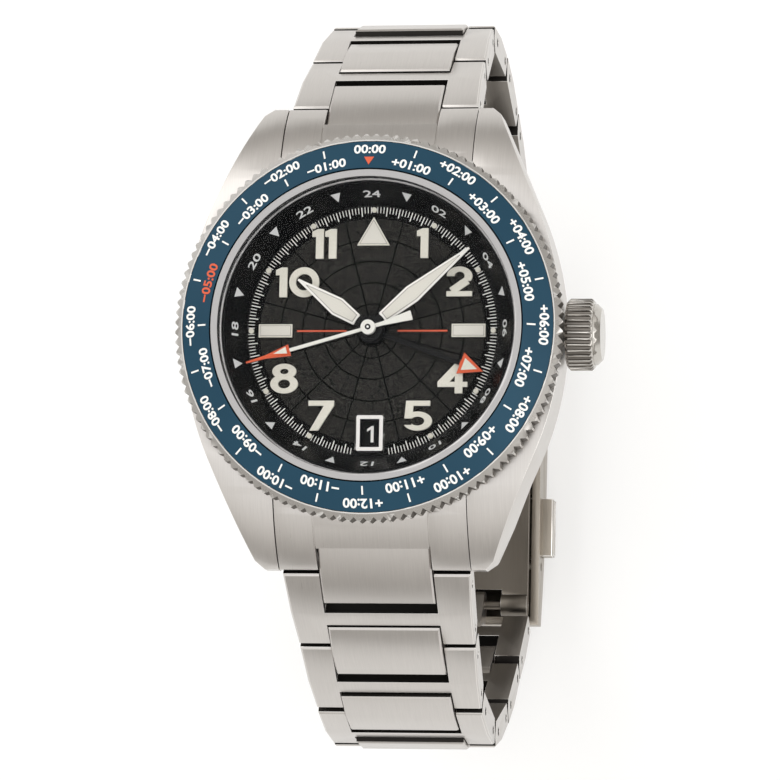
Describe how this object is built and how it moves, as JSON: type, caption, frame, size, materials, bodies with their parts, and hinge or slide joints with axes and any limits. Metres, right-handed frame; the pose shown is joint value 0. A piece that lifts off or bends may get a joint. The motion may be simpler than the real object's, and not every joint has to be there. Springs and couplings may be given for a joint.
{
  "type": "world time watch",
  "caption": "Steel wristwatch with a rotating world time bezel, 24-hour hand, date window, crown and an H-link bracelet closed by a folding clasp with push buttons.",
  "frame": {"origin": "centre of the case back's outer face", "axes": "+Z out through the dial, +Y towards 12 o'clock, +X towards the crown"},
  "size_m": [0.0435, 0.0782, 0.0789],
  "materials": {
    "brushed_case_steel": "satin brushed",
    "brushed_link_steel": "satin brushed",
    "clasp_steel": "brushed along the bracelet",
    "bezel_steel": "fine satin with polished teeth",
    "crown_steel": "satin with polished edges",
    "pin_steel": "ground",
    "anodised_blue": "anodised blue with printed numbers",
    "sapphire": "clear",
    "black_ring": "satin black with printed numbers",
    "black_dial": "textured black",
    "cream_lume": "matt luminous paint",
    "polished_steel": "polished",
    "white_hand": "painted white with orange tip",
    "orange_hand": "painted black and orange",
    "date_black": "matt black with printed numbers",
    "movement_brass": "rhodium washed",
    "spring_steel": "bright",
    "gasket_rubber": "matt"
  },
  "bodies": {
    "root": {"mid_case": "brushed_case_steel", "case_back": "brushed_case_steel", "case_gasket": "gasket_rubber", "bezel_click_spring": "spring_steel", "crystal": "sapphire", "hour_ring": "black_ring", "dial": "black_dial", "hour_markers": "cream_lume", "date_frame": "polished_steel", "crown_tube": "pin_steel", "movement_plate": "movement_brass", "end_link_12": "brushed_link_steel", "end_link_6": "brushed_link_steel", "spring_bars": "pin_steel"},
    "bezel": {"bezel": "bezel_steel", "bezel_insert": "anodised_blue"},
    "hour_hand": {"hour_hand": "cream_lume"},
    "minute_hand": {"minute_hand": "cream_lume"},
    "seconds_hand": {"seconds_hand": "white_hand"},
    "gmt_hand": {"gmt_hand": "orange_hand"},
    "date_disc": {"date_disc": "date_black"},
    "setting_lever": {"setting_lever": "spring_steel"},
    "crown": {"crown": "crown_steel", "winding_stem": "pin_steel"},
    "rotor": {"rotor": "movement_brass"},
    "mainspring_barrel": {"mainspring_barrel": "movement_brass"},
    "balance_wheel": {"balance_wheel": "movement_brass"},
    "centre_link_12_1": {"centre_link_12_1": "brushed_link_steel"},
    "h_link_12_1": {"h_link_12_1": "brushed_link_steel"},
    "centre_link_12_2": {"centre_link_12_2": "brushed_link_steel"},
    "h_link_12_2": {"h_link_12_2": "brushed_link_steel"},
    "centre_link_12_3": {"centre_link_12_3": "brushed_link_steel"},
    "h_link_12_3": {"h_link_12_3": "brushed_link_steel"},
    "centre_link_12_4": {"centre_link_12_4": "brushed_link_steel"},
    "h_link_12_4": {"h_link_12_4": "brushed_link_steel"},
    "centre_link_12_5": {"centre_link_12_5": "brushed_link_steel"},
    "h_link_12_5": {"h_link_12_5": "brushed_link_steel"},
    "centre_link_12_6": {"centre_link_12_6": "brushed_link_steel"},
    "h_link_12_6": {"h_link_12_6": "brushed_link_steel"},
    "clasp_link_12": {"clasp_link_12": "brushed_link_steel"},
    "centre_link_6_1": {"centre_link_6_1": "brushed_link_steel"},
    "h_link_6_1": {"h_link_6_1": "brushed_link_steel"},
    "centre_link_6_2": {"centre_link_6_2": "brushed_link_steel"},
    "h_link_6_2": {"h_link_6_2": "brushed_link_steel"},
    "centre_link_6_3": {"centre_link_6_3": "brushed_link_steel"},
    "h_link_6_3": {"h_link_6_3": "brushed_link_steel"},
    "centre_link_6_4": {"centre_link_6_4": "brushed_link_steel"},
    "h_link_6_4": {"h_link_6_4": "brushed_link_steel"},
    "centre_link_6_5": {"centre_link_6_5": "brushed_link_steel"},
    "h_link_6_5": {"h_link_6_5": "brushed_link_steel"},
    "centre_link_6_6": {"centre_link_6_6": "brushed_link_steel"},
    "h_link_6_6": {"h_link_6_6": "brushed_link_steel"},
    "clasp_link_6": {"clasp_link_6": "brushed_link_steel"},
    "clasp_inner_leaf": {"clasp_inner_leaf": "clasp_steel"},
    "clasp_middle_leaf": {"clasp_middle_leaf": "clasp_steel"},
    "clasp_cover": {"clasp_cover": "clasp_steel"},
    "clasp_button_right": {"clasp_button_right": "clasp_steel"},
    "clasp_button_left": {"clasp_button_left": "clasp_steel"}
  },
  "joints": [
    {"name": "bezel_turn", "type": "hinge", "parent": "root", "child": "bezel", "pos_m": [0, 0, 0], "axis": [0, 0, 1], "continuous": true},
    {"name": "minute_turn", "type": "hinge", "parent": "root", "child": "minute_hand", "pos_m": [0, 0, 0], "axis": [0, 0, -1], "continuous": true},
    {"name": "hour_turn", "type": "hinge", "parent": "root", "child": "hour_hand", "pos_m": [0, 0, 0], "axis": [0, 0, -1], "continuous": true},
    {"name": "seconds_turn", "type": "hinge", "parent": "root", "child": "seconds_hand", "pos_m": [0, 0, 0], "axis": [0, 0, -1], "continuous": true},
    {"name": "gmt_turn", "type": "hinge", "parent": "root", "child": "gmt_hand", "pos_m": [0, 0, 0], "axis": [0, 0, -1], "continuous": true},
    {"name": "date_turn", "type": "hinge", "parent": "root", "child": "date_disc", "pos_m": [0, 0, 0], "axis": [0, 0, 1], "continuous": true},
    {"name": "crown_pull", "type": "slide", "parent": "root", "child": "setting_lever", "axis": [1, 0, 0], "range_m": [0, 0.0012]},
    {"name": "crown_turn", "type": "hinge", "parent": "setting_lever", "child": "crown", "pos_m": [0, 0, 0.0046], "axis": [1, 0, 0], "continuous": true},
    {"name": "rotor_swing", "type": "hinge", "parent": "root", "child": "rotor", "pos_m": [0, 0, 0], "axis": [0, 0, 1], "continuous": true},
    {"name": "barrel_turn", "type": "hinge", "parent": "root", "child": "mainspring_barrel", "pos_m": [-0.0062, 0.0046, 0], "axis": [0, 0, 1], "continuous": true},
    {"name": "balance_swing", "type": "hinge", "parent": "root", "child": "balance_wheel", "pos_m": [0.0032, -0.0079, 0], "axis": [0, 0, 1], "range_deg": [-150, 150]},
    {"name": "clasp_fold", "type": "hinge", "parent": "clasp_inner_leaf", "child": "clasp_middle_leaf", "pos_m": [0, 0.011, -0.0595], "axis": [1, 0, 0], "range_deg": [0, 130]},
    {"name": "clasp_cover_hinge", "type": "hinge", "parent": "clasp_middle_leaf", "child": "clasp_cover", "pos_m": [0, -0.0174, -0.0616], "axis": [1, 0, 0], "range_deg": [-130, 0]},
    {"name": "button_right_press", "type": "slide", "parent": "clasp_cover", "child": "clasp_button_right", "axis": [-1, 0, 0], "range_m": [0, 0.0008], "stiffness_N_per_m": 400, "springref_m": -0.0008},
    {"name": "button_left_press", "type": "slide", "parent": "clasp_cover", "child": "clasp_button_left", "axis": [1, 0, 0], "range_m": [0, 0.0008], "stiffness_N_per_m": 400, "springref_m": -0.0008},
    {"name": "clasp_leaf_hinge", "type": "hinge", "parent": "clasp_link_6", "child": "clasp_inner_leaf", "pos_m": [0, -0.0222, -0.0579], "axis": [-1, 0, 0], "range_deg": [0, 14]},
    {"name": "centre_link_12_1_hinge", "type": "hinge", "parent": "root", "child": "centre_link_12_1", "pos_m": [0, 0.0214, 0.0021], "axis": [1, 0, 0], "range_deg": [0, 8]},
    {"name": "h_link_12_1_hinge", "type": "hinge", "parent": "centre_link_12_1", "child": "h_link_12_1", "pos_m": [0, 0.02515, -0.00105], "axis": [1, 0, 0], "range_deg": [0, 12.6]},
    {"name": "centre_link_12_2_hinge", "type": "hinge", "parent": "h_link_12_1", "child": "centre_link_12_2", "pos_m": [0, 0.02916, -0.00628], "axis": [1, 0, 0], "range_deg": [0, 3.95]},
    {"name": "h_link_12_2_hinge", "type": "hinge", "parent": "centre_link_12_2", "child": "h_link_12_2", "pos_m": [0, 0.03159, -0.00996], "axis": [1, 0, 0], "range_deg": [0, 3.95]},
    {"name": "centre_link_12_3_hinge", "type": "hinge", "parent": "h_link_12_2", "child": "centre_link_12_3", "pos_m": [0, 0.03483, -0.0157], "axis": [1, 0, 0], "range_deg": [0, 17.6]},
    {"name": "h_link_12_3_hinge", "type": "hinge", "parent": "centre_link_12_3", "child": "h_link_12_3", "pos_m": [0, 0.03574, -0.02002], "axis": [1, 0, 0], "range_deg": [0, 17.6]},
    {"name": "centre_link_12_4_hinge", "type": "hinge", "parent": "h_link_12_3", "child": "centre_link_12_4", "pos_m": [0, 0.03509, -0.02657], "axis": [1, 0, 0], "range_deg": [0, 8.55]},
    {"name": "h_link_12_4_hinge", "type": "hinge", "parent": "centre_link_12_4", "child": "h_link_12_4", "pos_m": [0, 0.034, -0.03085], "axis": [1, 0, 0], "range_deg": [0, 8.55]},
    {"name": "centre_link_12_5_hinge", "type": "hinge", "parent": "h_link_12_4", "child": "centre_link_12_5", "pos_m": [0, 0.03145, -0.03692], "axis": [1, 0, 0], "range_deg": [0, 5.1]},
    {"name": "h_link_12_5_hinge", "type": "hinge", "parent": "centre_link_12_5", "child": "h_link_12_5", "pos_m": [0, 0.02938, -0.04082], "axis": [1, 0, 0], "range_deg": [0, 5.1]},
    {"name": "centre_link_12_6_hinge", "type": "hinge", "parent": "h_link_12_5", "child": "centre_link_12_6", "pos_m": [0, 0.02579, -0.04635], "axis": [1, 0, 0], "range_deg": [0, 3]},
    {"name": "h_link_12_6_hinge", "type": "hinge", "parent": "centre_link_12_6", "child": "h_link_12_6", "pos_m": [0, 0.0232, -0.04991], "axis": [1, 0, 0], "range_deg": [0, 3]},
    {"name": "clasp_link_12_hinge", "type": "hinge", "parent": "h_link_12_6", "child": "clasp_link_12", "pos_m": [0, 0.01906, -0.05504], "axis": [1, 0, 0], "range_deg": [0, 3]},
    {"name": "centre_link_6_1_hinge", "type": "hinge", "parent": "root", "child": "centre_link_6_1", "pos_m": [0, -0.0214, 0.0021], "axis": [-1, 0, 0], "range_deg": [0, 8]},
    {"name": "h_link_6_1_hinge", "type": "hinge", "parent": "centre_link_6_1", "child": "h_link_6_1", "pos_m": [0, -0.02515, -0.00105], "axis": [-1, 0, 0], "range_deg": [0, 11.9]},
    {"name": "centre_link_6_2_hinge", "type": "hinge", "parent": "h_link_6_1", "child": "centre_link_6_2", "pos_m": [0, -0.02922, -0.00624], "axis": [-1, 0, 0], "range_deg": [0, 2.8]},
    {"name": "h_link_6_2_hinge", "type": "hinge", "parent": "centre_link_6_2", "child": "h_link_6_2", "pos_m": [0, -0.03177, -0.00983], "axis": [-1, 0, 0], "range_deg": [0, 2.8]},
    {"name": "centre_link_6_3_hinge", "type": "hinge", "parent": "h_link_6_2", "child": "centre_link_6_3", "pos_m": [0, -0.03531, -0.01539], "axis": [-1, 0, 0], "range_deg": [0, 9.3]},
    {"name": "h_link_6_3_hinge", "type": "hinge", "parent": "centre_link_6_3", "child": "h_link_6_3", "pos_m": [0, -0.03705, -0.01945], "axis": [-1, 0, 0], "range_deg": [0, 9.3]},
    {"name": "centre_link_6_4_hinge", "type": "hinge", "parent": "h_link_6_3", "child": "centre_link_6_4", "pos_m": [0, -0.03863, -0.02584], "axis": [-1, 0, 0], "range_deg": [0, 15.35]},
    {"name": "h_link_6_4_hinge", "type": "hinge", "parent": "centre_link_6_4", "child": "h_link_6_4", "pos_m": [0, -0.03852, -0.03025], "axis": [-1, 0, 0], "range_deg": [0, 15.35]},
    {"name": "centre_link_6_5_hinge", "type": "hinge", "parent": "h_link_6_4", "child": "centre_link_6_5", "pos_m": [0, -0.03661, -0.03656], "axis": [-1, 0, 0], "range_deg": [0, 6.85]},
    {"name": "h_link_6_5_hinge", "type": "hinge", "parent": "centre_link_6_5", "child": "h_link_6_5", "pos_m": [0, -0.03484, -0.0406], "axis": [-1, 0, 0], "range_deg": [0, 6.85]},
    {"name": "centre_link_6_6_hinge", "type": "hinge", "parent": "h_link_6_5", "child": "centre_link_6_6", "pos_m": [0, -0.0315, -0.04628], "axis": [-1, 0, 0], "range_deg": [0, 2.25]},
    {"name": "h_link_6_6_hinge", "type": "hinge", "parent": "centre_link_6_6", "child": "h_link_6_6", "pos_m": [0, -0.02911, -0.04999], "axis": [-1, 0, 0], "range_deg": [0, 2.25]},
    {"name": "clasp_link_6_hinge", "type": "hinge", "parent": "h_link_6_6", "child": "clasp_link_6", "pos_m": [0, -0.02533, -0.05539], "axis": [-1, 0, 0], "range_deg": [0, 16.3]}
  ],
  "couplings": [
    {"joint": "minute_turn", "follows": "seconds_turn", "ratio": 0.016667},
    {"joint": "hour_turn", "follows": "seconds_turn", "ratio": 0.0013889},
    {"joint": "gmt_turn", "follows": "seconds_turn", "ratio": 0.00069444},
    {"joint": "clasp_cover_hinge", "follows": "clasp_fold", "ratio": -1}
  ]
}
